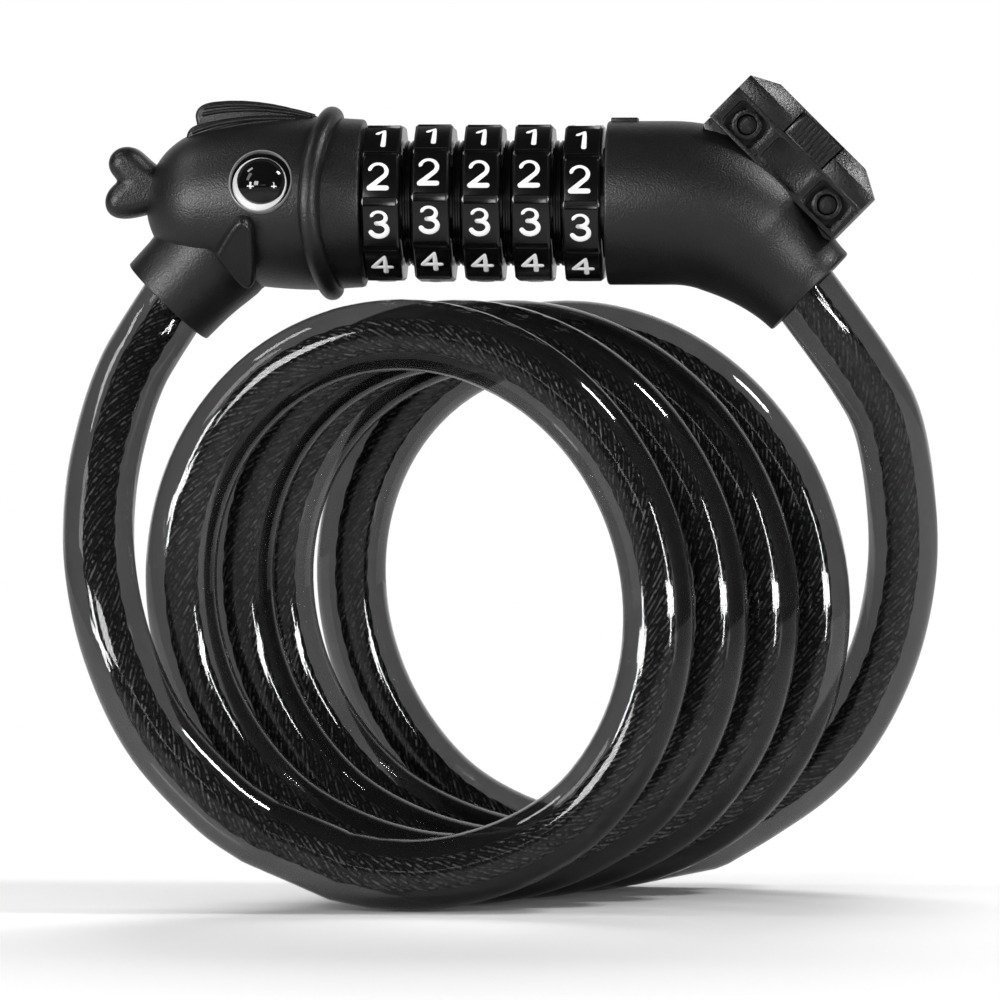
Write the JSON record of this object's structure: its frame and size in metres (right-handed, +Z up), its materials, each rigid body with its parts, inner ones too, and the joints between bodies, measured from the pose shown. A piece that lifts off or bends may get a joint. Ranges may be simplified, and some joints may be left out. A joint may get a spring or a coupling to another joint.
{
  "type": "cable lock",
  "caption": "Coiled steel cable lock with a combination-dial barrel, a fish-shaped plug head and a bent housing with a bracket foot.",
  "frame": {"origin": "on the floor under the middle of the lock's bounding box", "axes": "+X along the barrel from the plug head to the bent housing, +Y away from the side whose numbers are read, +Z up"},
  "size_m": [0.146, 0.0693, 0.14],
  "materials": {
    "housing_black": "fine-grained soft-touch black moulding",
    "dial_black": "polished black moulding",
    "bracket_black": "textured dark grey-black moulding",
    "eye_ring": "pale glossy ring",
    "eye_dome": "polished black dome",
    "steel": "turned steel",
    "tumbler_brass": "stamped brass",
    "cable_sheath": "smoky clear sheath over twisted steel strands"
  },
  "bodies": {
    "lock_body": {"right_housing": "housing_black", "core_tube": "steel", "core_pin": "steel", "click_spring": "steel", "spacer_1": "dial_black", "spacer_2": "dial_black", "spacer_3": "dial_black", "spacer_4": "dial_black", "front_washer": "steel", "retaining_ring": "steel", "cable_ferrule_right": "steel", "ferrule_pin_right": "steel", "bracket_foot": "bracket_black", "bracket_plate": "bracket_black", "latch_tongue_front": "bracket_black", "latch_tongue_back": "bracket_black", "foot_pin_upper": "bracket_black", "foot_pin_lower": "bracket_black", "cable_coil": "cable_sheath", "cable_lead_left": "cable_sheath", "cable_lead_right": "cable_sheath"},
    "wheel_1": {"dial_1": "dial_black", "tumbler_1": "tumbler_brass"},
    "wheel_2": {"dial_2": "dial_black", "tumbler_2": "tumbler_brass"},
    "wheel_3": {"dial_3": "dial_black", "tumbler_3": "tumbler_brass"},
    "wheel_4": {"dial_4": "dial_black", "tumbler_4": "tumbler_brass"},
    "wheel_5": {"dial_5": "dial_black", "tumbler_5": "tumbler_brass"},
    "plug_head": {"head_shell": "housing_black", "dorsal_fin": "housing_black", "plug_insert": "steel", "plug_bolt": "steel", "cable_ferrule_left": "steel", "ferrule_pin_left": "steel", "eye_ring_front": "eye_ring", "eye_ring_back": "eye_ring", "eye_dome_front": "eye_dome", "eye_dome_back": "eye_dome", "pectoral_fin_front": "housing_black", "pectoral_fin_back": "housing_black"}
  },
  "joints": [
    {"name": "dial_1_turn", "type": "hinge", "parent": "lock_body", "child": "wheel_1", "pos_m": [-0.02023, 0, 0.1184], "axis": [1, 0, 0], "continuous": true},
    {"name": "dial_2_turn", "type": "hinge", "parent": "lock_body", "child": "wheel_2", "pos_m": [-0.01174, 0, 0.1184], "axis": [1, 0, 0], "continuous": true},
    {"name": "dial_3_turn", "type": "hinge", "parent": "lock_body", "child": "wheel_3", "pos_m": [-0.00324, 0, 0.1184], "axis": [1, 0, 0], "continuous": true},
    {"name": "dial_4_turn", "type": "hinge", "parent": "lock_body", "child": "wheel_4", "pos_m": [0.00526, 0, 0.1184], "axis": [1, 0, 0], "continuous": true},
    {"name": "dial_5_turn", "type": "hinge", "parent": "lock_body", "child": "wheel_5", "pos_m": [0.01376, 0, 0.1184], "axis": [1, 0, 0], "continuous": true},
    {"name": "plug_slide", "type": "slide", "parent": "lock_body", "child": "plug_head", "axis": [-1, 0, 0], "range_m": [0, 0.048], "deforming": ["cable_lead_left"]}
  ]
}
